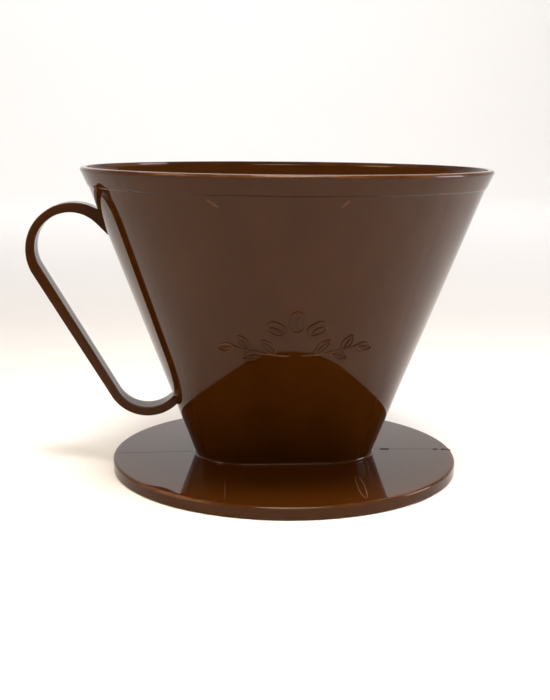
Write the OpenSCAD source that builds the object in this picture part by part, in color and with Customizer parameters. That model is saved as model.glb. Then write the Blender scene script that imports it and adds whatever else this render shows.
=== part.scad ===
// Pour over coffee dripper for flat-bottomed wedge paper filters, moulded in brown plastic.
// A cone that blends from a round mouth to a long oval foot, on a saucer-shaped base that
// sits over a mug. Origin: centre of the base's resting plane. +Z up, +X away from the
// handle, -Y towards the motif. All sizes in millimetres.

/* [Cone] */
// Radius of the cone's outside at the step under the rim
step_r = 64; // [60:0.5:68]
// Height of that step
step_z = 94.2; // [85:0.2:100]
// Half the foot's length, along X
foot_half_length = 29.9; // [26:0.1:31]
// Half the foot's width, along Y
foot_half_width = 16.8; // [15:0.1:20]
// Thickness of the cone's wall
wall = 2; // [1.6:0.1:2.6]

/* [Rim] */
// Largest radius of the rim, at its lip
rim_r = 66.5; // [66:0.1:68]
// Height of the rim band above the step
rim_h = 5.8; // [4:0.1:8]
// How far the rim band stands proud of the cone
rim_step = 0.4; // [0.2:0.1:0.8]
// Height of the lip's rounded outer edge
lip_round = 1.2; // [0.8:0.1:1.5]

/* [Base] */
// Radius of the base
base_r = 57.8; // [50:0.1:62]
// Height of the base's outer edge
base_edge_h = 3.9; // [3.5:0.1:4.5]
// Rise of the base's top from its edge to the foot
base_rise = 0.4; // [0.2:0.1:1]
// Thickness of the base plate at its flat middle
plate_t = 2.2; // [1.8:0.1:2.4]
// Thickness of the down-turned skirt
skirt_t = 2; // [1.5:0.1:2.5]
// Radius of the rounding on the skirt's top edge
skirt_round = 0.8; // [0.5:0.1:1.2]

/* [Locating ring] */
// Outer radius of the ring under the base that drops into a mug's mouth
ring_r = 35; // [33:0.5:38]
// Thickness of the ring
ring_t = 1.6; // [1.2:0.1:2]
// Gap left between the ring and the surface the base stands on
ring_gap = 0.2; // [0.1:0.1:0.5]
// Width of the plain strip between the ring and the part of the base that a mug's rim bears on
seat_gap = 1; // [0.5:0.5:2]

/* [Drain] */
// Number of drain holes, in a row along X
drain_count = 3; // [1:1:3]
// Radius of each drain hole
drain_r = 2; // [1.5:0.1:2.5]
// Distance between neighbouring drain holes
drain_pitch = 15; // [10:0.5:17]

/* [Flow ribs] */
// Ribs on each long side, inside the cone
rib_count = 9; // [5:1:11]
// Distance between neighbouring ribs, along X
rib_pitch = 5; // [4:0.5:5]
// Width of each rib
rib_w = 1.2; // [1:0.1:1.5]
// How far each rib stands out of the wall
rib_h = 1; // [0.6:0.1:1.4]
// Height at which the ribs end
rib_top_z = 66; // [50:1:80]

/* [Handle] */
// Width of the handle's strap, along Y
strap_w = 9.2; // [8:0.1:12]
// Outer radius of the handle's upper bend
upper_bend_r = 15.4; // [15:0.1:16]
// Outer radius of the handle's lower bend
lower_bend_r = 13.9; // [13:0.1:15]
// Thickness of the strap
strap_t = 2.9; // [2.4:0.1:3.2]
// Extra thickness where the strap's upper bend runs into the cone
root_extra = 0.9; // [0:0.1:1.2]

/* [Motif] */
// How far the leaf and bean motif stands out of the wall
motif_relief = 0.4; // [0.3:0.1:0.8]
// Width of the motif's raised lines
motif_line = 0.7; // [0.6:0.1:0.9]
// Height of the motif's centre
motif_z = 53; // [45:1:60]

/* [Hidden] */
$fn = 72;
plastic = "#4b3128";

foot_z = base_edge_h + base_rise;
rim_top_z = step_z + rim_h;
plate_underside_z = foot_z - plate_t;
flat_r = foot_half_length + 1.3;
seat_r = ring_r + seat_gap;
slab = 0.02;

// Centres of the handle's bends, in X and Z, and where its upper bend straightens
upper_bend = [-69, 73.1];
lower_bend = [-45.9, 31.9];
root_angle = 45;

// Outline of the foot, a slot with round ends, grown by grow (inwards if negative)
module foot_outline(grow = 0) {
    end_r = foot_half_width + grow;
    end_x = foot_half_length - foot_half_width;
    for (side = [-1, 1]) translate([side * end_x, 0]) circle(r = end_r);
    square([2 * end_x, 2 * end_r], center = true);
}

// Solid between the foot's outline and the round step, grown by grow. It runs on by
// below and above past both ends, with straight sides.
module cone_solid(grow = 0, below = 0, above = 0) {
    hull() {
        translate([0, 0, foot_z]) linear_extrude(slab) foot_outline(grow);
        translate([0, 0, step_z - slab]) cylinder(r = step_r + grow, h = slab);
    }
    if (below > 0)
        translate([0, 0, foot_z - below]) linear_extrude(below + slab) foot_outline(grow);
    if (above > 0)
        translate([0, 0, step_z - slab]) cylinder(r = step_r + grow, h = above + slab);
}

// Wall of the cone, of even thickness
module cone_wall() {
    color(plastic) difference() {
        cone_solid();
        cone_solid(-wall, below = 1, above = 1);
    }
}

// Quarter of a disc, in the corner between +X and +Y
module quarter_round(r) {
    intersection() {
        circle(r = r);
        square(r);
    }
}

// Flared band above the step, with a rounded lip
module rim_band() {
    inner_r = step_r - wall;
    lip_z = rim_top_z - lip_round;
    color(plastic) rotate_extrude() {
        polygon([[inner_r, step_z], [step_r + rim_step, step_z], [rim_r, lip_z],
                 [rim_r - lip_round, lip_z], [rim_r - lip_round, rim_top_z],
                 [rim_r - wall, rim_top_z], [rim_r - wall, lip_z]]);
        translate([rim_r - lip_round, lip_z]) quarter_round(lip_round);
    }
}

// Straight ribs up both long sides, which hold the wet paper off the wall
module flow_ribs() {
    color(plastic) intersection() {
        difference() {
            cone_solid(-wall);
            cone_solid(-wall - rib_h, below = 1, above = 1);
        }
        for (i = [0 : rib_count - 1], side = [-1, 1])
            translate([(i - (rib_count - 1) / 2) * rib_pitch - rib_w / 2,
                       side > 0 ? 0 : -step_r, foot_z])
                cube([rib_w, step_r, rib_top_z - foot_z]);
    }
}

// Floor of the cone, part of the same level as the base plate
module outlet_floor() {
    color(plastic) difference() {
        translate([0, 0, plate_underside_z]) linear_extrude(plate_t) foot_outline();
        for (i = [0 : drain_count - 1])
            translate([(i - (drain_count - 1) / 2) * drain_pitch, 0, 0])
                cylinder(r = drain_r, h = foot_z + 1);
    }
}

// Height of the base's top at radius r, outside the flat middle
function base_top_z(r) = foot_z - base_rise * (r - flat_r) / (base_r - flat_r);

// Middle of the base, from the foot out to just beyond the locating ring
module foot_plate() {
    color(plastic) difference() {
        rotate_extrude() polygon([[0, plate_underside_z], [seat_r, plate_underside_z],
                                  [seat_r, base_top_z(seat_r)], [flat_r, foot_z], [0, foot_z]]);
        linear_extrude(foot_z + 1) foot_outline();
    }
}

// Outer part of the base, falling slightly to the skirt. A mug's rim bears on its underside.
module base_plate() {
    inner_edge = base_r - skirt_t;
    color(plastic) rotate_extrude()
        polygon([[seat_r, plate_underside_z], [inner_edge, plate_underside_z],
                 [inner_edge, base_top_z(inner_edge)], [seat_r, base_top_z(seat_r)]]);
}

// Down-turned edge that the dripper stands on
module base_skirt() {
    inner_edge = base_r - skirt_t;
    round_z = base_edge_h - skirt_round;
    color(plastic) rotate_extrude() {
        polygon([[inner_edge, 0], [base_r, 0], [base_r, round_z],
                 [base_r - skirt_round, round_z], [base_r - skirt_round, base_edge_h],
                 [inner_edge, base_top_z(inner_edge)]]);
        translate([base_r - skirt_round, round_z]) quarter_round(skirt_round);
    }
}

// Ring under the plate that keeps the dripper centred on a mug
module locating_ring() {
    color(plastic) translate([0, 0, ring_gap]) difference() {
        cylinder(r = ring_r, h = plate_underside_z - ring_gap);
        translate([0, 0, -1]) cylinder(r = ring_r - ring_t, h = plate_underside_z + 2);
    }
}

// Outline of a belt round two circles
module belt(from, from_r, to, to_r) {
    hull() {
        translate(from) circle(r = from_r);
        translate(to) circle(r = to_r);
    }
}

// Outline of the finger gap, opened on the cone's side. Its upper bend leaves its circle
// along the tangent at root_angle, so the strap thickens as it runs into the cone.
module finger_gap() {
    upper = upper_bend + root_extra * [-1, 0.7];
    upper_r = upper_bend_r - strap_t - root_extra;
    lower_r = lower_bend_r - strap_t;
    root_start = upper + upper_r * [cos(root_angle), sin(root_angle)];
    belt(lower_bend, lower_r, upper, upper_r);
    polygon([upper, root_start, root_start + 8 * [sin(root_angle), -cos(root_angle)],
             lower_bend + [lower_r, 0], lower_bend]);
}

// Flat strap bent into a loop, whose two ends run into the cone's side
module handle_strap() {
    color(plastic) difference() {
        translate([0, strap_w / 2, 0]) rotate([90, 0, 0]) linear_extrude(strap_w) difference() {
            belt(lower_bend, lower_bend_r, upper_bend, upper_bend_r);
            finger_gap();
        }
        cone_solid();
    }
}

// Layer on the front of the cone, cut to the drawing given as children, in X and Z
module front_relief() {
    intersection() {
        difference() {
            cone_solid(motif_relief);
            cone_solid();
        }
        translate([0, 0, motif_z]) rotate([90, 0, 0]) linear_extrude(step_r + 5) children();
    }
}

// Pointed leaf from the origin along +X
module leaf(length, width) {
    r = (length * length / 4 + width * width / 4) / width;
    translate([length / 2, 0]) intersection() {
        translate([0, width / 2 - r]) circle(r = r);
        translate([0, r - width / 2]) circle(r = r);
    }
}

// Leaf drawn as a raised outline with a raised middle vein
module leaf_line(length, width) {
    difference() {
        leaf(length, width);
        translate([motif_line * 1.6, 0]) leaf(length - motif_line * 3.2, width - motif_line * 2);
    }
    translate([0, -motif_line / 3]) square([length * 0.8, motif_line / 1.5]);
}

// Two mirrored sprigs of leaves, on stems that curve up from the middle
module motif_sprig() {
    stem_r = 60;
    stem_drop = 8;
    leaf_w = 3.4;
    color(plastic) front_relief() for (side = [0, 1]) mirror([side, 0]) {
        translate([0, stem_r - stem_drop]) for (i = [0 : 3])
            rotate(5.5 + i * 4) translate([0, -stem_r])
                rotate(i % 2 == 0 ? 42 : -24) leaf_line(7 - 0.4 * i, leaf_w);
        intersection() {
            translate([0, stem_r - stem_drop]) difference() {
                circle(r = stem_r + motif_line / 2);
                circle(r = stem_r - motif_line / 2);
            }
            translate([1.5, -stem_drop - 2]) square([18, stem_drop + 2]);
        }
    }
}

// Long oval along X
module oval(length, width) {
    hull() for (side = [-1, 1])
        translate([side * (length - width) / 2, 0]) circle(d = width, $fn = 32);
}

// Coffee bean drawn as a raised oval outline with a bent crease
module bean_line(length, width) {
    crease_r = length * 0.62;
    difference() {
        oval(length, width);
        oval(length - 2 * motif_line, width - 2 * motif_line);
    }
    intersection() {
        oval(length, width);
        translate([0, -crease_r]) difference() {
            circle(r = crease_r + motif_line / 2);
            circle(r = crease_r - motif_line / 2);
        }
    }
}

// Three beans above the point where the sprigs meet
module motif_beans() {
    color(plastic) front_relief() {
        translate([0, 3.2]) rotate(90) bean_line(7.4, 5);
        for (side = [-1, 1])
            translate([side * 6.2, 1]) rotate(side * 28) bean_line(6.6, 4.4);
    }
}

cone_wall();
rim_band();
flow_ribs();
outlet_floor();
foot_plate();
base_plate();
base_skirt();
locating_ring();
handle_strap();
motif_sprig();
motif_beans();
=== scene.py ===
"""Looks of a glossy brown plastic pour over dripper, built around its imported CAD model.

Metres, +Z up, +X away from the handle, -Y towards the raised motif, as in the CAD model.
Each CAD node gets a finer mesh of the same shape, with rounded edges, mould lines and marks.
"""

import math

import bmesh
import bpy
import numpy as np
from mathutils import Matrix, Vector


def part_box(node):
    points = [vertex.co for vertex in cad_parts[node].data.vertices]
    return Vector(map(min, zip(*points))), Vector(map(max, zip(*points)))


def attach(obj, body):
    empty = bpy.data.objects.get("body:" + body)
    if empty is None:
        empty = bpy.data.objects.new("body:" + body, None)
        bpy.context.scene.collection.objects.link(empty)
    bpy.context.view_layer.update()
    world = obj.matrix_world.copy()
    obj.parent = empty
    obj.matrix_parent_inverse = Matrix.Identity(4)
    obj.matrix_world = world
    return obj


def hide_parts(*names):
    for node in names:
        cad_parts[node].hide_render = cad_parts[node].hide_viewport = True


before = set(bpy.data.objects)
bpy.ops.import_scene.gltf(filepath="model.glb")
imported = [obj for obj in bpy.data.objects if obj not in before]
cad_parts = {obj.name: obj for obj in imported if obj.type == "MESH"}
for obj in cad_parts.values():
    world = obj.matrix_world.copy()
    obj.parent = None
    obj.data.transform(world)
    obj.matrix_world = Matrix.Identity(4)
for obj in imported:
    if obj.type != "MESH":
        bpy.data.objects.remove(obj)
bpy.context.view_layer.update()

MM = 0.001

# ---------------------------------------------------------------- sizes, from the frame

floor_low, floor_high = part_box("outlet_floor")
FOOT_LENGTH = floor_high.x
FOOT_WIDTH = floor_high.y
FOOT_Z = floor_high.z
UNDER_Z = floor_low.z
FOOT_STRAIGHT = FOOT_LENGTH - FOOT_WIDTH
FADE = 0.6  # how much the ruling goes by length round the outline

DRAIN_PITCH = 15.0 * MM
DRAIN_R = 2.0 * MM
DRAIN_CHAMFER = 0.35 * MM

cone_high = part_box("cone_wall")[1]
STEP_R = cone_high.x
STEP_Z = cone_high.z
WALL = 2.0 * MM

rim_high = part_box("rim_band")[1]
RIM_R = rim_high.x
RIM_Z = rim_high.z
RIM_STEP = 0.4 * MM
STEP_FILLET = 0.22 * MM
LIP_R = 0.85 * MM

skirt_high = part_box("base_skirt")[1]
BASE_R = skirt_high.x
BASE_EDGE_Z = 3.9 * MM
SKIRT_T = 2.0 * MM
SKIRT_ROUND = 0.8 * MM
FLAT_R = FOOT_LENGTH + 1.3 * MM

SEAT_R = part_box("foot_plate")[1].x

ring_low, ring_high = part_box("locating_ring")
RING_R = ring_high.x
RING_Z = ring_low.z
RING_T = 1.6 * MM

strap_low, strap_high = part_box("handle_strap")
STRAP_W = strap_high.y - strap_low.y
STRAP_T = 2.9 * MM
STRAP_EDGE = 0.5 * MM

rib_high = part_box("flow_ribs")[1]
RIB_TOP_Z = rib_high.z
RIB_COUNT = 9
RIB_PITCH = 5.0 * MM
RIB_W = 1.2 * MM
RIB_H = 1.0 * MM

MOTIF_Z = 53.0 * MM
MOTIF_LINE = 0.7 * MM
MOTIF_RELIEF = 0.4 * MM

# Width and height of the mould lines. At +X they gape: over GAPES_MM from the axis on the
# base, and all over the skirt.
CONE_LINE = (0.22 * MM, 0.03 * MM)
STRAP_LINE = (0.25 * MM, 0.035 * MM)
BASE_LINE = (0.26 * MM, 0.05 * MM)
BASE_GAPE = (0.75 * MM, 0.26 * MM)
SKIRT_LINE = (0.32 * MM, 0.035 * MM)
SKIRT_GAPE = (0.6 * MM, 0.2 * MM)
GAPES_MM = ((33.4, 36.3), (51.9, 53.2), (54.6, math.inf))

# Fine marks like those that flowing plastic leaves: width and height, then places in mm.
CONE_MARK = (0.8 * MM, 0.03 * MM)
CONE_MARKS_XZ = (((-27, 93), (-23.2, 90.6)), ((12.4, 93.2), (9.8, 90.8)))
BASE_MARK = (0.4 * MM, 0.07 * MM)
BASE_MARK_XY = ((-20.9, -29.6), (-21.5, -50.8))
BASE_OVAL_XY = (20.7, -39.9)
BASE_OVAL_HALF = (1.1, 10.2)


# ---------------------------------------------------------------- shape of the cone

def half_section(height, grow=0.0, steps=241):
    """Left to right points of the cone section's front half at a height, grown by grow.

    The foot is a slot and the step a circle. Ruled lines join them, partly by direction of
    the normal and partly by share of the length round, so the flat sides fade out upwards.
    """
    share = (height - FOOT_Z) / (STEP_Z - FOOT_Z)
    quarter = FOOT_WIDTH * math.pi / 2
    along = np.linspace(0, 2 * (quarter + FOOT_STRAIGHT), steps)
    before = np.minimum(along, quarter) / FOOT_WIDTH
    after = np.maximum(along - quarter - 2 * FOOT_STRAIGHT, 0) / FOOT_WIDTH
    straight = np.clip(along - quarter, 0, 2 * FOOT_STRAIGHT)
    turn = before + after - math.pi
    foot = np.stack([straight - FOOT_STRAIGHT + FOOT_WIDTH * np.cos(turn),
                     FOOT_WIDTH * np.sin(turn)])
    ring_turn = (1 - FADE) * turn + FADE * (along / along[-1] - 1) * math.pi
    ring = STEP_R * np.stack([np.cos(ring_turn), np.sin(ring_turn)])
    points = (1 - share) * foot + share * ring
    tangent = np.gradient(points, axis=1)
    tangent /= np.hypot(*tangent)
    tangent[:, 0], tangent[:, -1] = (0, -1), (0, 1)
    return points + grow * np.stack([tangent[1], -tangent[0]])


def cone_section(height, grow=0.0, steps=121):
    """Whole section of the cone at a height, as a closed loop of (x, y)."""
    front = half_section(height, grow, steps)
    back = (front * np.array([[1], [-1]]))[:, -2:0:-1]
    return np.concatenate([front, back], axis=1).T


def cone_side(x, z, side, grow=0.0):
    """Point of the cone's long side at x and z. side is -1 at the front, 1 at the back."""
    xs, ys = half_section(z, grow)
    return Vector((x, -side * float(np.interp(x, xs, ys)), z))


def cone_normal(x, z, side, grow=0.0):
    """Outward normal of the cone's long side."""
    step = 0.5 * MM
    along = cone_side(x + step, z, side, grow) - cone_side(x - step, z, side, grow)
    up = cone_side(x, z + step, side, grow) - cone_side(x, z - step, side, grow)
    normal = along.cross(up).normalized()
    return normal if normal.y * side > 0 else -normal


def base_top_z(r):
    """Height of the base's top at radius r: flat round the foot, then falling gently."""
    fall = (FOOT_Z - BASE_EDGE_Z) / (BASE_R - FLAT_R)
    ease = 6.0 * MM
    past = r - FLAT_R + ease / 2
    if past <= 0:
        return FOOT_Z
    if past < ease:
        return FOOT_Z - fall * past ** 2 / (2 * ease)
    return FOOT_Z - fall * (r - FLAT_R)


# ---------------------------------------------------------------- mesh helpers

def arc(centre, radius, start, end, steps):
    """Points on a circle in a plane, from start to end degrees."""
    return [
        (centre[0] + radius * math.cos(math.radians(a)),
         centre[1] + radius * math.sin(math.radians(a)))
        for a in np.linspace(start, end, steps)
    ]


def circle(centre, radius, steps=48):
    """Points all round a circle."""
    return arc(centre, radius, 0, 360 * (1 - 1 / steps), steps)


def line(start, end, steps):
    """Points between start and end, which are left out themselves."""
    start, end = np.array(start, float), np.array(end, float)
    return [tuple(start + (end - start) * t) for t in np.linspace(0, 1, steps + 2)[1:-1]]


def grid_faces(rows, columns, wrap_rows):
    """Quads of a grid whose columns wrap round, and whose rows may."""
    faces = []
    for i in range(rows if wrap_rows else rows - 1):
        for j in range(columns):
            a, b = i * columns, (i + 1) % rows * columns
            k = (j + 1) % columns
            faces.append((a + j, a + k, b + k, b + j))
    return faces


def finish_mesh(name, vertices, faces, wear_and_highlight=None, sharp=32.0):
    """Object with outward normals and smooth shading, split only at edges above sharp degrees."""
    mesh = bpy.data.meshes.new(name)
    mesh.from_pydata([tuple(v) for v in vertices], [], faces)
    # Per-point weight of the lighter worn colour: part edge wear, part painted highlight.
    attribute = mesh.attributes.new("edge_wear_and_highlight", "FLOAT", "POINT")
    if wear_and_highlight is not None:
        attribute.data.foreach_set("value", np.asarray(wear_and_highlight, np.float32))
    bm = bmesh.new()
    bm.from_mesh(mesh)
    bmesh.ops.remove_doubles(bm, verts=bm.verts, dist=0.0005 * MM)
    bmesh.ops.dissolve_degenerate(bm, edges=bm.edges, dist=0.0005 * MM)
    bmesh.ops.recalc_face_normals(bm, faces=bm.faces)
    bm.to_mesh(mesh)
    bm.free()
    mesh.shade_smooth()
    mesh.set_sharp_from_angle(angle=math.radians(sharp))
    piece = bpy.data.objects.new(name, mesh)
    bpy.context.scene.collection.objects.link(piece)
    return piece


def join(name, parts):
    """One object of several, so that a mould line belongs to the piece it runs over."""
    bm = bmesh.new()
    for part in parts:
        bm.from_mesh(part.data)
    for part in parts[1:]:
        bpy.data.objects.remove(part)
    bm.to_mesh(parts[0].data)
    bm.free()
    parts[0].name = name
    return parts[0]


def lathe(name, profile, wear_and_highlight=None, columns=192):
    """Closed profile of (radius, height) points turned about Z."""
    angles = np.linspace(0, 2 * math.pi, columns, endpoint=False)
    vertices = [(r * math.cos(a), r * math.sin(a), z) for r, z in profile for a in angles]
    weights = None if wear_and_highlight is None else np.repeat(wear_and_highlight, columns)
    return finish_mesh(name, vertices, grid_faces(len(profile), columns, True), weights)


def bead(name, points, normals, width, height, closed=False, sink=0.15 * MM, ramp=0.0,
         worn_and_highlit=0.0):
    """Raised line with a rounded section. width and height may differ at each point."""
    count = len(points)
    width = np.broadcast_to(width, count)
    height = np.broadcast_to(height, count)
    length = [0.0]
    for a, b in zip(points, points[1:]):
        length.append(length[-1] + (b - a).length)
    vertices = []
    arch = np.linspace(0, math.pi, 9)
    for i, (point, normal) in enumerate(zip(points, normals)):
        before = points[i - 1] if i or closed else point
        after = points[(i + 1) % count] if i < count - 1 or closed else point
        across = (after - before).normalized().cross(normal).normalized()
        end = 1.0
        if ramp and not closed:
            end = min(1.0, min(length[i], length[-1] - length[i]) / ramp)
            end = max(0.08, math.sin(end * math.pi / 2))
        half, top = width[i] / 2 * (0.4 + 0.6 * end), height[i] * end
        section = [(half * math.copysign(abs(math.cos(a)) ** 0.7, math.cos(a)),
                    top * math.sin(a) ** 0.8) for a in arch]
        section += [(-half * 0.9, -sink), (half * 0.9, -sink)]
        vertices += [point + across * u + normal * v for u, v in section]
    size = len(arch) + 2
    faces = grid_faces(count, size, closed)
    if not closed:
        faces.append(tuple(range(size)))
        faces.append(tuple(range((count - 1) * size, count * size)))
    # The crest gets the lighter worn colour: wear and a painted highlight.
    crest = np.where(np.arange(size) < len(arch), worn_and_highlit, 0.0)
    return finish_mesh(name, vertices, faces, np.tile(crest, count), sharp=50.0)


# ---------------------------------------------------------------- pieces

def cone_piece():
    """Wall that blends from the slot-shaped foot to the round step, with a fillet at its foot."""
    fillet, inner_fillet = 1.0 * MM, 1.6 * MM
    outside = arc((fillet, FOOT_Z + fillet), fillet, 270, 180, 9)
    outside += line((0, FOOT_Z + fillet), (0, STEP_Z - STEP_FILLET), 34)
    outside += arc((STEP_FILLET, STEP_Z - STEP_FILLET), STEP_FILLET, 180, 90, 7)
    inside = line((-WALL, STEP_Z), (-WALL, FOOT_Z + inner_fillet), 34)
    inside += arc((-WALL - inner_fillet, FOOT_Z + inner_fillet), inner_fillet, 0, -90, 9)
    profile = outside + [(-WALL, STEP_Z)] + inside
    loops = [cone_section(z, grow) for grow, z in profile]
    vertices = [(x, y, z) for (_, z), loop in zip(profile, loops) for x, y in loop]
    shell = finish_mesh("cone_wall_shell", vertices,
                        grid_faces(len(profile), len(loops[0]), True))
    heights = np.linspace(FOOT_Z + fillet, STEP_Z - 0.4 * MM, 40)
    lines = [shell]
    for side in (1, -1):
        path = [Vector((side * half_section(z)[0, -1], 0, z)) for z in heights]
        slope = (path[-1] - path[0]).normalized()
        normal = Vector((slope.z * side, 0, -slope.x * side))
        lines.append(bead("cone_line", path, [normal] * len(path), *CONE_LINE))
    for start, end in CONE_MARKS_XZ:
        places = [(x * MM, z * MM) for x, z in line(start, end, 12)]
        path = [cone_side(x, z, -1) for x, z in places]
        normals = [cone_normal(x, z, -1) for x, z in places]
        # Crests of the flow marks are painted lighter: wear and a painted highlight.
        lines.append(bead("flow_mark", path, normals, *CONE_MARK, ramp=1.2 * MM, worn_and_highlit=1.0))
    return join("cone_wall_shell", lines)


def rim_piece():
    """Flared band above the step, with a rounded lip and a softened inner edge."""
    inner_r = STEP_R - WALL
    lip_centre = (RIM_R - LIP_R, RIM_Z - LIP_R)
    inner_round = 0.35 * MM
    corner = 0.25 * MM
    foot = (STEP_R + RIM_STEP - corner, STEP_Z + corner)
    profile = [(inner_r, STEP_Z), (STEP_R - 0.3 * MM, STEP_Z)]
    profile += arc(foot, corner, -90, -24, 5)
    lip = arc(lip_centre, LIP_R, -25, 90, 15)
    profile += line(profile[-1], lip[0], 8) + lip
    inner_top = arc((RIM_R - WALL + inner_round, RIM_Z - inner_round), inner_round, 90, 180, 7)
    profile += line(profile[-1], inner_top[0], 1) + inner_top
    below = (RIM_R - WALL, RIM_Z - LIP_R)
    profile += [below] + line(below, profile[0], 6)
    # The lip top gets the lighter worn colour: wear and a painted highlight line.
    wear_and_highlight = [1.0 if z > RIM_Z - 0.9 * MM else 0.0 for _, z in profile]
    return lathe("rim_band_lip", profile, wear_and_highlight, columns=240)


def rib_piece():
    """Half-round ribs inside both long sides, running out smoothly at the top."""
    heights = np.linspace(FOOT_Z + 0.2 * MM, RIB_TOP_Z - 0.2 * MM, 26)
    ribs = []
    for side in (-1, 1):
        for i in range(RIB_COUNT):
            x = (i - (RIB_COUNT - 1) / 2) * RIB_PITCH
            path = [cone_side(x, z, side, -WALL) for z in heights]
            normals = [-cone_normal(x, z, side, -WALL) for z in heights]
            height = RIB_H * np.clip((RIB_TOP_Z - heights) / (6 * MM), 0.05, 1)
            ribs.append(bead("rib", path, normals, RIB_W, height, sink=0.3 * MM))
    return join("flow_rib_set", ribs)


def filled_plate(name, outline, holes, top, bottom, chamfer):
    """Flat plate with round holes (x, y, radius) that are chamfered at the top."""
    bm = bmesh.new()

    def loop(points, z):
        verts = [bm.verts.new((x, y, z)) for x, y in points]
        return verts, [bm.edges.new(pair) for pair in zip(verts, verts[1:] + verts[:1])]

    def bridge(low, high):
        for i in range(len(low)):
            k = (i + 1) % len(low)
            bm.faces.new((low[i], low[k], high[k], high[i]))

    outer_top, top_edges = loop(outline, top)
    outer_bottom, bottom_edges = loop(outline, bottom)
    bridge(outer_bottom, outer_top)
    for x, y, r in holes:
        wide, wide_edges = loop(circle((x, y), r + chamfer), top)
        neck = loop(circle((x, y), r), top - chamfer)[0]
        end, end_edges = loop(circle((x, y), r), bottom)
        bridge(neck, wide)
        bridge(end, neck)
        top_edges += wide_edges
        bottom_edges += end_edges
    bmesh.ops.triangle_fill(bm, use_beauty=True, edges=top_edges)
    bmesh.ops.triangle_fill(bm, use_beauty=True, edges=bottom_edges)
    bm.verts.index_update()
    vertices = [v.co.copy() for v in bm.verts]
    faces = [tuple(v.index for v in f.verts) for f in bm.faces]
    bm.free()
    return finish_mesh(name, vertices, faces, sharp=25.0)


def outlet_piece():
    """Floor of the cone with three chamfered drain holes."""
    outline = [tuple(p) for p in cone_section(FOOT_Z, steps=61)]
    holes = [(i * DRAIN_PITCH, 0.0, DRAIN_R) for i in (-1, 0, 1)]
    return filled_plate("outlet_floor_plate", outline, holes, FOOT_Z, UNDER_Z, DRAIN_CHAMFER)


def base_line(side, start, end):
    """Mould line along X over the base's top, wider and taller where it gapes."""
    xs = np.linspace(start, end, 90)
    path = [Vector((side * x, 0, base_top_z(x))) for x in xs]
    sizes = [BASE_GAPE if side > 0 and any(low < x < high for low, high in GAPES_MM)
             else BASE_LINE for x in xs / MM]
    return bead("base_line", path, [Vector((0, 0, 1))] * len(path), *zip(*sizes))


def foot_plate_piece():
    """Middle of the base, from the foot's outline to just beyond the locating ring."""
    inner = [Vector(p) for p in cone_section(FOOT_Z)]
    outer = [p.normalized() * SEAT_R for p in inner]
    steps = np.linspace(0, 1, 7)
    vertices = []
    for t in steps:
        for a, b in zip(inner, outer):
            p = a.lerp(b, t)
            vertices.append((p.x, p.y, base_top_z(p.length)))
    for t in steps[::-1]:
        vertices += [(*a.lerp(b, t), UNDER_Z) for a, b in zip(inner, outer)]
    plate = finish_mesh("foot_plate_disc", vertices,
                        grid_faces(2 * len(steps), len(inner), True))
    lines = [base_line(side, FOOT_LENGTH + 0.9 * MM, SEAT_R) for side in (1, -1)]
    return join("foot_plate_disc", [plate] + lines)


def base_plate_piece():
    """Outer part of the base, with the mould line and two flow marks on its top."""
    edge_r = BASE_R - SKIRT_T
    top = [(r, base_top_z(r)) for r in np.linspace(SEAT_R, edge_r, 12)]
    under = [(edge_r, UNDER_Z)] + line((edge_r, UNDER_Z), (SEAT_R, UNDER_Z), 6)
    plate = lathe("base_plate_disc", top + under + [(SEAT_R, UNDER_Z)])
    lines = [base_line(side, SEAT_R, edge_r) for side in (1, -1)]
    (x, y), (half_x, half_y) = BASE_OVAL_XY, BASE_OVAL_HALF
    oval = [(x + half_x * u, y + half_y * v) for v, u in circle((0, 0), 1)]
    for points, closed in ((oval, True), (line(*BASE_MARK_XY, 24), False)):
        path = [Vector((x * MM, y * MM, base_top_z(math.hypot(x, y) * MM))) for x, y in points]
        # Crests of the flow marks are painted lighter: wear and a painted highlight.
        lines.append(bead("flow_mark", path, [Vector((0, 0, 1))] * len(path), *BASE_MARK,
                          closed, ramp=2 * MM, worn_and_highlit=1.0))
    return join("base_plate_disc", [plate] + lines)


def skirt_piece():
    """Down-turned edge with a rounded top, softened lower corners and the mould line."""
    edge_r = BASE_R - SKIRT_T
    low = 0.25 * MM
    top_arc = arc((BASE_R - SKIRT_ROUND, BASE_EDGE_Z - SKIRT_ROUND), SKIRT_ROUND, 0, 88, 11)
    profile = arc((edge_r + low, low), low, 180, 270, 5)
    profile += arc((BASE_R - low, low), low, 270, 360, 5)
    profile += line(profile[-1], top_arc[0], 4) + top_arc
    profile += [(edge_r + 0.9 * MM, base_top_z(edge_r + 0.9 * MM)), (edge_r, base_top_z(edge_r))]
    profile += line(profile[-1], (edge_r, low), 3)
    # The rounded top edge gets the lighter worn colour: wear and a painted highlight line.
    wear_and_highlight = [1.0 if r > BASE_R - SKIRT_ROUND and z > BASE_EDGE_Z - SKIRT_ROUND else 0.0
            for r, z in profile]
    skirt = lathe("base_skirt_ring", profile, wear_and_highlight, columns=240)
    over = line((BASE_R, low), top_arc[0], 4) + top_arc + [(edge_r, base_top_z(edge_r))]
    lines = [skirt]
    for side in (1, -1):
        path = [Vector((side * r, 0, z)) for r, z in over]
        normals = []
        for i in range(len(path)):
            along = path[min(i + 1, len(path) - 1)] - path[max(i - 1, 0)]
            normals.append(Vector((along.z * side, 0, -along.x * side)).normalized())
        size = SKIRT_GAPE if side > 0 else SKIRT_LINE
        lines.append(bead("skirt_line", path, normals, *size))
    return join("base_skirt_ring", lines)


def ring_piece():
    """Locating ring under the base, with rounded lower edges."""
    edge = 0.3 * MM
    inner = RING_R - RING_T
    profile = [(RING_R, UNDER_Z), (inner, UNDER_Z)]
    profile += line(profile[-1], (inner, RING_Z + edge), 2)
    profile += arc((inner + edge, RING_Z + edge), edge, 180, 270, 6)
    profile += arc((RING_R - edge, RING_Z + edge), edge, 270, 360, 6)
    profile += line(profile[-1], (RING_R, UNDER_Z), 2)
    return lathe("locating_ring_rib", profile)


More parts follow.
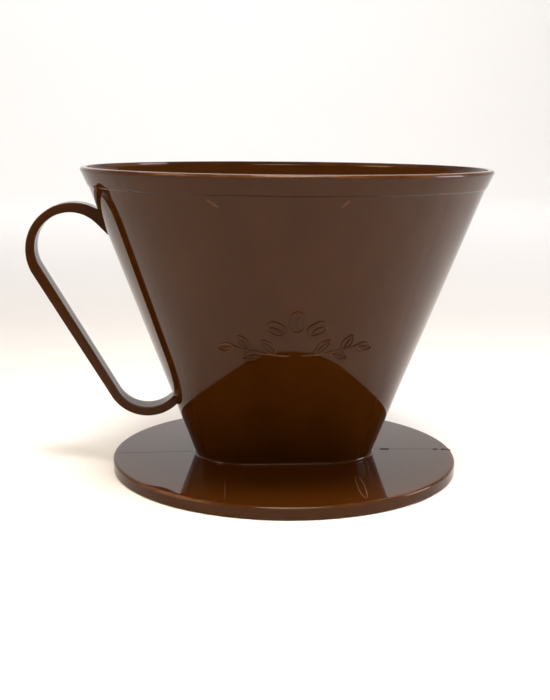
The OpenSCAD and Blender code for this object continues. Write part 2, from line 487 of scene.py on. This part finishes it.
def strap_pairs():
    """Outer and inner points of the strap's outline in X and Z, from upper to lower root."""
    upper, lower = np.array((-69.0, 73.1)) * MM, np.array((-45.9, 31.9)) * MM
    upper_r, lower_r = 15.4 * MM, 13.9 * MM
    extra = 0.9 * MM
    root_turn, root_length = 45, 5.4 * MM
    outer_start, outer_end, inner_end = 56, 322, 342
    inner_upper = upper + extra * np.array((-1, 0.7))
    inner_upper_r = upper_r - STRAP_T - extra
    inner_lower_r = lower_r - STRAP_T

    def tangent(top, top_r, low_r):
        """Angle of the outer straight run's normal, in degrees."""
        run = top - lower
        lean = math.asin((top_r - low_r) / np.hypot(*run))
        return math.degrees(math.atan2(run[1], run[0]) - lean) + 90

    outer_turn = tangent(upper, upper_r, lower_r)
    inner_turn = tangent(inner_upper, inner_upper_r, inner_lower_r)
    root = np.array(arc(inner_upper, inner_upper_r, root_turn, root_turn, 1)[0])
    lean = math.radians(root_turn)
    run_in = np.array((math.sin(lean), -math.cos(lean)))
    outer = arc(upper, upper_r, outer_start, 78, 7)
    inner = [tuple(root + run_in * d) for d in np.linspace(root_length, 0.4 * MM, 7)]
    outer += arc(upper, upper_r, 80, outer_turn, 44)
    inner += arc(inner_upper, inner_upper_r, root_turn + 2, inner_turn, 44)
    outer_low = arc(lower, lower_r, outer_turn, outer_end, 34)
    inner_low = arc(lower, inner_lower_r, inner_turn, inner_end, 34)
    outer += line(outer[-1], outer_low[0], 14) + outer_low
    inner += line(inner[-1], inner_low[0], 14) + inner_low
    return outer, inner


def strap_piece():
    """Flat strap bent into a loop, thicker at its upper root, with rounded edges."""
    outer, inner = strap_pairs()
    half_w, edge = STRAP_W / 2, STRAP_EDGE
    vertices, wear_and_highlight = [], []
    for o, i in zip(outer, inner):
        out_point, in_point = Vector((o[0], 0, o[1])), Vector((i[0], 0, i[1]))
        middle = (out_point + in_point) / 2
        half_t = (out_point - in_point).length / 2
        outwards = (out_point - in_point).normalized()
        corners = arc((half_w - edge, half_t - edge), edge, 0, 90, 6)
        corners += line(corners[-1], (-half_w + edge, half_t), 5)
        corners += arc((-half_w + edge, half_t - edge), edge, 90, 180, 6)
        corners += line(corners[-1], (-half_w, -half_t + edge), 2)
        corners += arc((-half_w + edge, -half_t + edge), edge, 180, 270, 6)
        corners += line(corners[-1], (half_w - edge, -half_t), 5)
        corners += arc((half_w - edge, -half_t + edge), edge, 270, 360, 6)
        corners += line(corners[-1], corners[0], 2)
        for y, t in corners:
            vertices.append(middle + Vector((0, y, 0)) + outwards * t)
            # Rounded corners get the lighter worn colour: wear and a painted highlight line.
            on_corner = abs(y) > half_w - edge and abs(t) > half_t - edge
            wear_and_highlight.append(1.0 if on_corner else 0.0)
    size = len(corners)
    faces = grid_faces(len(outer), size, False)
    faces.append(tuple(range(size)))
    faces.append(tuple(range(len(vertices) - size, len(vertices))))
    strap = finish_mesh("handle_strap_loop", vertices, faces, wear_and_highlight, sharp=40.0)
    lines = [strap]
    for points, other in ((outer, inner), (inner, outer)):
        path = [Vector((p[0], 0, p[1])) for p in points]
        normals = [(Vector((p[0] - q[0], 0, p[1] - q[1]))).normalized()
                   for p, q in zip(points, other)]
        lines.append(bead("strap_line", path[3:-2], normals[3:-2], *STRAP_LINE))
    return join("handle_strap_loop", lines)


# ---------------------------------------------------------------- motif

def drawn_line(points, closed=False, width=MOTIF_LINE):
    """Raised line on the front of the cone. points are (x, height over the motif's centre)."""
    places = [(x, MOTIF_Z + up) for x, up in points]
    path = [cone_side(x, z, -1) for x, z in places]
    normals = [cone_normal(x, z, -1) for x, z in places]
    # Crests of the motif lines are painted lighter: wear and a painted highlight.
    return bead("motif_line", path, normals, width, MOTIF_RELIEF, closed,
                ramp=0.5 * MM, worn_and_highlit=1.0)


def placed(points, origin, degrees, mirrored=1):
    """Drawing turned by degrees about its own origin, moved to origin and maybe mirrored."""
    c, s = math.cos(math.radians(degrees)), math.sin(math.radians(degrees))
    return [(mirrored * (origin[0] + c * x - s * y), origin[1] + s * x + c * y)
            for x, y in points]


def leaf_outline(length, width):
    """Pointed leaf from the origin along +X, made of two arcs."""
    radius = (length ** 2 / 4 + width ** 2 / 4) / width
    reach = math.degrees(math.asin(length / 2 / radius))
    upper = arc((length / 2, width / 2 - radius), radius, 90 + reach, 90 - reach, 17)
    lower = arc((length / 2, radius - width / 2), radius, 270 + reach, 270 - reach, 17)
    return upper[:-1] + lower[:-1]


def sprig_piece():
    """Two mirrored sprigs of leaves, on stems that curve up from the middle."""
    stem_r, drop = 60 * MM, 8 * MM
    first_turn, leaf_pitch, lean_up, lean_down = 5.5, 4, 42, -24
    parts = []
    for mirrored in (1, -1):
        stem = arc((0, stem_r - drop), stem_r, 271.6, 288.4, 30)
        parts.append(drawn_line([(mirrored * x, y) for x, y in stem]))
        for i in range(4):
            turn = first_turn + leaf_pitch * i
            joint = arc((0, stem_r - drop), stem_r, 270 + turn, 270 + turn, 1)[0]
            lean = turn + (lean_up if i % 2 == 0 else lean_down)
            length = (7 - 0.4 * i) * MM - MOTIF_LINE
            start = placed([(MOTIF_LINE / 2, 0)], joint, lean)[0]
            outline = placed(leaf_outline(length, 2.7 * MM), start, lean, mirrored)
            parts.append(drawn_line(outline, closed=True))
            vein = [(length * t, 0) for t in np.linspace(0.05, 0.78, 8)]
            parts.append(drawn_line(placed(vein, start, lean, mirrored), width=0.45 * MM))
    return join("motif_sprig_relief", parts)


def beans_piece():
    """Three coffee beans above the point where the sprigs meet."""
    side_x, side_up, side_turn, side_size = 6.2 * MM, 1.0 * MM, 28, (6.6 * MM, 4.4 * MM)
    beans = [((0, 3.2 * MM), 90, (7.4 * MM, 5.0 * MM))]
    beans += [((side * side_x, side_up), side * side_turn, side_size) for side in (1, -1)]
    crease_reach = 27
    parts = []
    for origin, turn, (length, width) in beans:
        reach, radius = (length - width) / 2, (width - MOTIF_LINE) / 2
        oval = arc((reach, 0), radius, -90, 90, 17) + arc((-reach, 0), radius, 90, 270, 17)
        parts.append(drawn_line(placed(oval, origin, turn), closed=True))
        crease_r = length * 0.62
        crease = arc((0, -crease_r), crease_r, 90 + crease_reach, 90 - crease_reach, 16)
        parts.append(drawn_line(placed(crease, origin, turn)))
    return join("motif_beans_relief", parts)


# ---------------------------------------------------------------- materials

def feed(tree, socket, value):
    """Link an input to another node's output, or set its value."""
    if isinstance(value, bpy.types.NodeSocket):
        tree.links.new(value, socket)
    else:
        socket.default_value = value


def feed_all(tree, node, **values):
    """Feed several inputs of a node by name."""
    for name, value in values.items():
        feed(tree, node.inputs[name.replace("_", " ")], value)
    return node


def add(tree, kind, **values):
    """New node with its inputs fed by name."""
    return feed_all(tree, tree.nodes.new(kind), **values)


def noise(tree, place, scale, detail, roughness=0.5):
    """Strength of a noise texture at place."""
    node = add(tree, "ShaderNodeTexNoise", Vector=place, Scale=scale, Detail=detail,
               Roughness=roughness)
    return node.outputs["Fac"]


def mapped(tree, value, low, high, low_result, high_result):
    """Value mapped from low..high to low_result..high_result, clamped."""
    node = add(tree, "ShaderNodeMapRange", Value=value, From_Min=low, From_Max=high,
               To_Min=low_result, To_Max=high_result)
    return node.outputs["Result"]


def calculated(tree, operation, *values):
    """Result of a Math node."""
    node = tree.nodes.new("ShaderNodeMath")
    node.operation = operation
    for socket, value in zip(node.inputs, values):
        feed(tree, socket, value)
    return node.outputs[0]


def colour_ramp(tree, share, low, low_colour, high, high_colour):
    """Colour that runs from low_colour at low to high_colour at high."""
    node = add(tree, "ShaderNodeValToRGB", Fac=share)
    for stop, position, colour in zip(node.color_ramp.elements, (low, high),
                                      (low_colour, high_colour)):
        stop.position = position
        stop.color = (*colour, 1)
    return node.outputs["Color"]


def mixed(tree, share, first, second):
    """Mix of a colour output with a plain colour."""
    node = tree.nodes.new("ShaderNodeMix")
    node.data_type = "RGBA"
    return feed_all(tree, node, Factor=share, A=first, B=(*second, 1)).outputs["Result"]


def new_material(name):
    """Material with nodes, its tree and its shader."""
    material = bpy.data.materials.new(name)
    material.use_nodes = True
    return material, material.node_tree, material.node_tree.nodes["Principled BSDF"]


DARK_STREAK = (0.0350, 0.0096, 0.0007)
LIGHT_STREAK = (0.0430, 0.0124, 0.0013)
SPECK = (0.11, 0.045, 0.018)
# Lighter colour of worn edges and crests: part wear, part painted highlight along edges that
# catch the light.
WORN_EDGE_HIGHLIGHT = (0.125, 0.052, 0.022)


def moulded_plastic(name, shift=0.0, grain=(1.0, 1.0, 0.12), gloss=0.02, ior=1.27):
    """Glossy dark brown plastic: flow streaks, fine specks, smudges, scratches, and worn edges in
    a lighter colour that is part wear, part painted highlight.
    """
    material, tree, shader = new_material(name)
    place = add(tree, "ShaderNodeTexCoord").outputs["Object"]
    moved = add(tree, "ShaderNodeMapping", Vector=place,
                Location=(shift, shift * 0.7, shift * 1.3)).outputs["Vector"]
    streak_place = add(tree, "ShaderNodeMapping", Vector=moved, Scale=grain).outputs["Vector"]
    streaks = noise(tree, streak_place, 70.0, 4.0, 0.55)
    specks = noise(tree, moved, 1900.0, 2.0, 0.6)
    smudges = noise(tree, moved, 42.0, 5.0, 0.6)
    peel = noise(tree, moved, 95.0, 2.0, 0.45)
    edges = tree.nodes.new("ShaderNodeAttribute")
    edges.attribute_name = "edge_wear_and_highlight"

    tone = colour_ramp(tree, streaks, 0.3, DARK_STREAK, 0.72, LIGHT_STREAK)
    speckled = mixed(tree, mapped(tree, specks, 0.66, 0.8, 0.0, 0.3), tone, SPECK)
    # Painted highlight as well as wear: marked edges and crests get the lighter colour, patchy by
    # the smudge noise.
    worn_and_highlit = calculated(tree, "MULTIPLY", mapped(tree, smudges, 0.45, 0.62, 0.05, 0.6),
                      edges.outputs["Fac"])
    dull = mapped(tree, smudges, 0.42, 0.7, gloss, gloss + 0.03)

    scratch_place = add(tree, "ShaderNodeMapping", Vector=moved, Rotation=(0.4, 0.25, 0.6),
                        Scale=(1.0, 28.0, 28.0)).outputs["Vector"]
    scratches = mapped(tree, noise(tree, scratch_place, 120.0, 3.0, 0.7), 0.7, 0.78, 0.0, 1.0)
    fine = add(tree, "ShaderNodeBump", Height=scratches, Strength=0.02, Distance=0.05 * MM)
    fine.invert = True
    wavy = add(tree, "ShaderNodeBump", Height=peel, Strength=0.08, Distance=0.12 * MM,
               Normal=fine.outputs["Normal"])

    feed_all(tree, shader, IOR=ior, Base_Color=mixed(tree, worn_and_highlit, speckled, WORN_EDGE_HIGHLIGHT),
             Roughness=calculated(tree, "MULTIPLY_ADD", worn_and_highlit, 0.12, dull),
             Normal=wavy.outputs["Normal"])
    return material


def stage_material(name, colour, roughness):
    """Plain pale stage surface with the faintest mottle."""
    material, tree, shader = new_material(name)
    place = add(tree, "ShaderNodeTexCoord").outputs["Object"]
    mottle = noise(tree, place, 6.0, 2.0)
    tone = colour_ramp(tree, mottle, 0, [c * 0.985 for c in colour], 1, colour)
    feed_all(tree, shader, Base_Color=tone, Roughness=roughness, Specular_IOR_Level=0.1)
    return material


# ---------------------------------------------------------------- stage, lights, camera

def backdrop():
    """Pale floor that curves up into a wall behind the object."""
    half_width, front, back, bend, height = 2.6, -2.4, 1.5, 0.8, 2.6
    path = [(front, 0.0)] + line((front, 0.0), (back, 0.0), 10)
    path += arc((back, bend), bend, 270, 360, 24)
    path += line(path[-1], (back + bend, height), 6) + [(back + bend, height)]
    floor_z = -0.0002
    vertices = [(x, y, z + floor_z) for y, z in path for x in (-half_width, half_width)]
    faces = [(2 * i, 2 * i + 1, 2 * i + 3, 2 * i + 2) for i in range(len(path) - 1)]
    sweep = finish_mesh("backdrop_sweep", vertices, faces)
    sweep.data.materials.append(stage_material("backdrop_white", (0.72, 0.72, 0.716), 0.9))


def area_light(name, place, target, size, power, colour=(1, 1, 1), spread=180):
    """Soft rectangular light at place, aimed at target, spreading over an angle in degrees."""
    data = bpy.data.lights.new(name, "AREA")
    data.shape = "RECTANGLE"
    data.size, data.size_y = size
    data.energy = power
    data.color = colour
    data.spread = math.radians(spread)
    light = bpy.data.objects.new(name, data)
    light.location = place
    aim = Vector(target) - Vector(place)
    light.rotation_euler = aim.to_track_quat("-Z", "Y").to_euler()
    bpy.context.scene.collection.objects.link(light)


def sky():
    """Surroundings that are pale at the horizon and dim and warm overhead."""
    world = bpy.data.worlds.new("soft_studio")
    world.use_nodes = True
    bpy.context.scene.world = world
    tree = world.node_tree
    place = add(tree, "ShaderNodeTexCoord").outputs["Generated"]
    height = add(tree, "ShaderNodeSeparateXYZ", Vector=place).outputs["Z"]
    fade = colour_ramp(tree, height, 0.16, (0.9, 0.87, 0.83), 0.34, (0.28, 0.21, 0.126))
    feed_all(tree, tree.nodes["Background"], Color=fade)


def lighting():
    """Soft lamps over the object, the floor and the wall, and a bright window at +X."""
    area_light("top_light", (0.1, -0.25, 0.9), (0.1, -0.1, 0), (0.6, 0.17), 1.12,
               (1.0, 0.95, 0.88), 42)
    area_light("back_light", (0.1, 0.16, 0.9), (0.1, 0.05, 0), (0.7, 0.4), 0.42,
               (1.0, 0.98, 0.95), 80)
    area_light("front_light", (0.0, -0.75, 0.72), (0, 0, 0.02), (0.6, 0.14), 0.18,
               (1.0, 0.86, 0.66), 40)
    area_light("left_lamp", (-0.75, -0.25, 0.6), (-0.08, -0.08, 0), (0.3, 0.3), 0.36,
               (1.0, 0.7, 0.36), 60)
    area_light("window", (1.05, 0.0, 0.24), (0.04, 0, 0.04), (0.42, 0.44), 6.6,
               (0.86, 0.84, 1.0))
    area_light("backdrop_light", (0.0, 0.9, 1.5), (0, 1.8, 0.1), (2.4, 0.6), 36,
               (0.97, 0.97, 1.0))
    for name, x, y, size, power in (("front", 0, -1.7, (3.4, 0.6), 17),
                                    ("left", -1.8, -0.2, (0.6, 2.4), 18),
                                    ("right", 1.8, -0.2, (0.6, 2.4), 13)):
        area_light("floor_light_" + name, (x, y, 1.6), (x, y, 0), size, power,
                   (0.96, 0.98, 1.0), 80)


def camera():
    """Camera in front of the object and a little above its rim. Angles are in radians."""
    turn = -0.086
    distance, aside, height = 0.36248, 0.0014, 0.11153
    yaw, pitch, roll = -0.013, 0.197, 0.009
    forward = Vector((math.sin(yaw) * math.cos(pitch), math.cos(yaw) * math.cos(pitch),
                      -math.sin(pitch)))
    right = Vector((math.cos(yaw), -math.sin(yaw), 0))
    up = right.cross(forward)
    rolled_right = right * math.cos(roll) + up * math.sin(roll)
    rolled_up = up * math.cos(roll) - right * math.sin(roll)
    pose = Matrix((rolled_right, rolled_up, -forward)).transposed().to_4x4()
    pose.translation = Vector((aside, -distance, height))
    data = bpy.data.cameras.new("camera")
    data.lens = 56.5
    data.clip_start = 0.01
    view = bpy.data.objects.new("camera", data)
    view.matrix_world = Matrix.Rotation(turn, 4, "Z") @ pose
    bpy.context.scene.collection.objects.link(view)
    bpy.context.scene.camera = view


# ---------------------------------------------------------------- assembly

def dress(piece, material, *nodes):
    """Piece takes the CAD nodes' place, moves with the root body and gets its material."""
    piece.data.materials.clear()
    piece.data.materials.append(material)
    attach(piece, "root")
    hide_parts(*nodes)


upright = moulded_plastic("plastic_upright")
level = moulded_plastic("plastic_level", shift=0.31, grain=(0.2, 1.0, 1.0), gloss=0.018,
                        ior=1.255)
strap = moulded_plastic("plastic_strap", shift=0.57, grain=(0.6, 1.0, 0.3), gloss=0.025,
                        ior=1.2)

dress(cone_piece(), upright, "cone_wall")
dress(rim_piece(), upright, "rim_band")
dress(rib_piece(), upright, "flow_ribs")
dress(outlet_piece(), level, "outlet_floor")
dress(foot_plate_piece(), level, "foot_plate")
dress(base_plate_piece(), level, "base_plate")
dress(skirt_piece(), level, "base_skirt")
dress(ring_piece(), level, "locating_ring")
dress(strap_piece(), strap, "handle_strap")
dress(sprig_piece(), upright, "motif_sprig")
dress(beans_piece(), upright, "motif_beans")

backdrop()
sky()
lighting()
camera()
bpy.context.scene.view_settings.view_transform = "Standard"
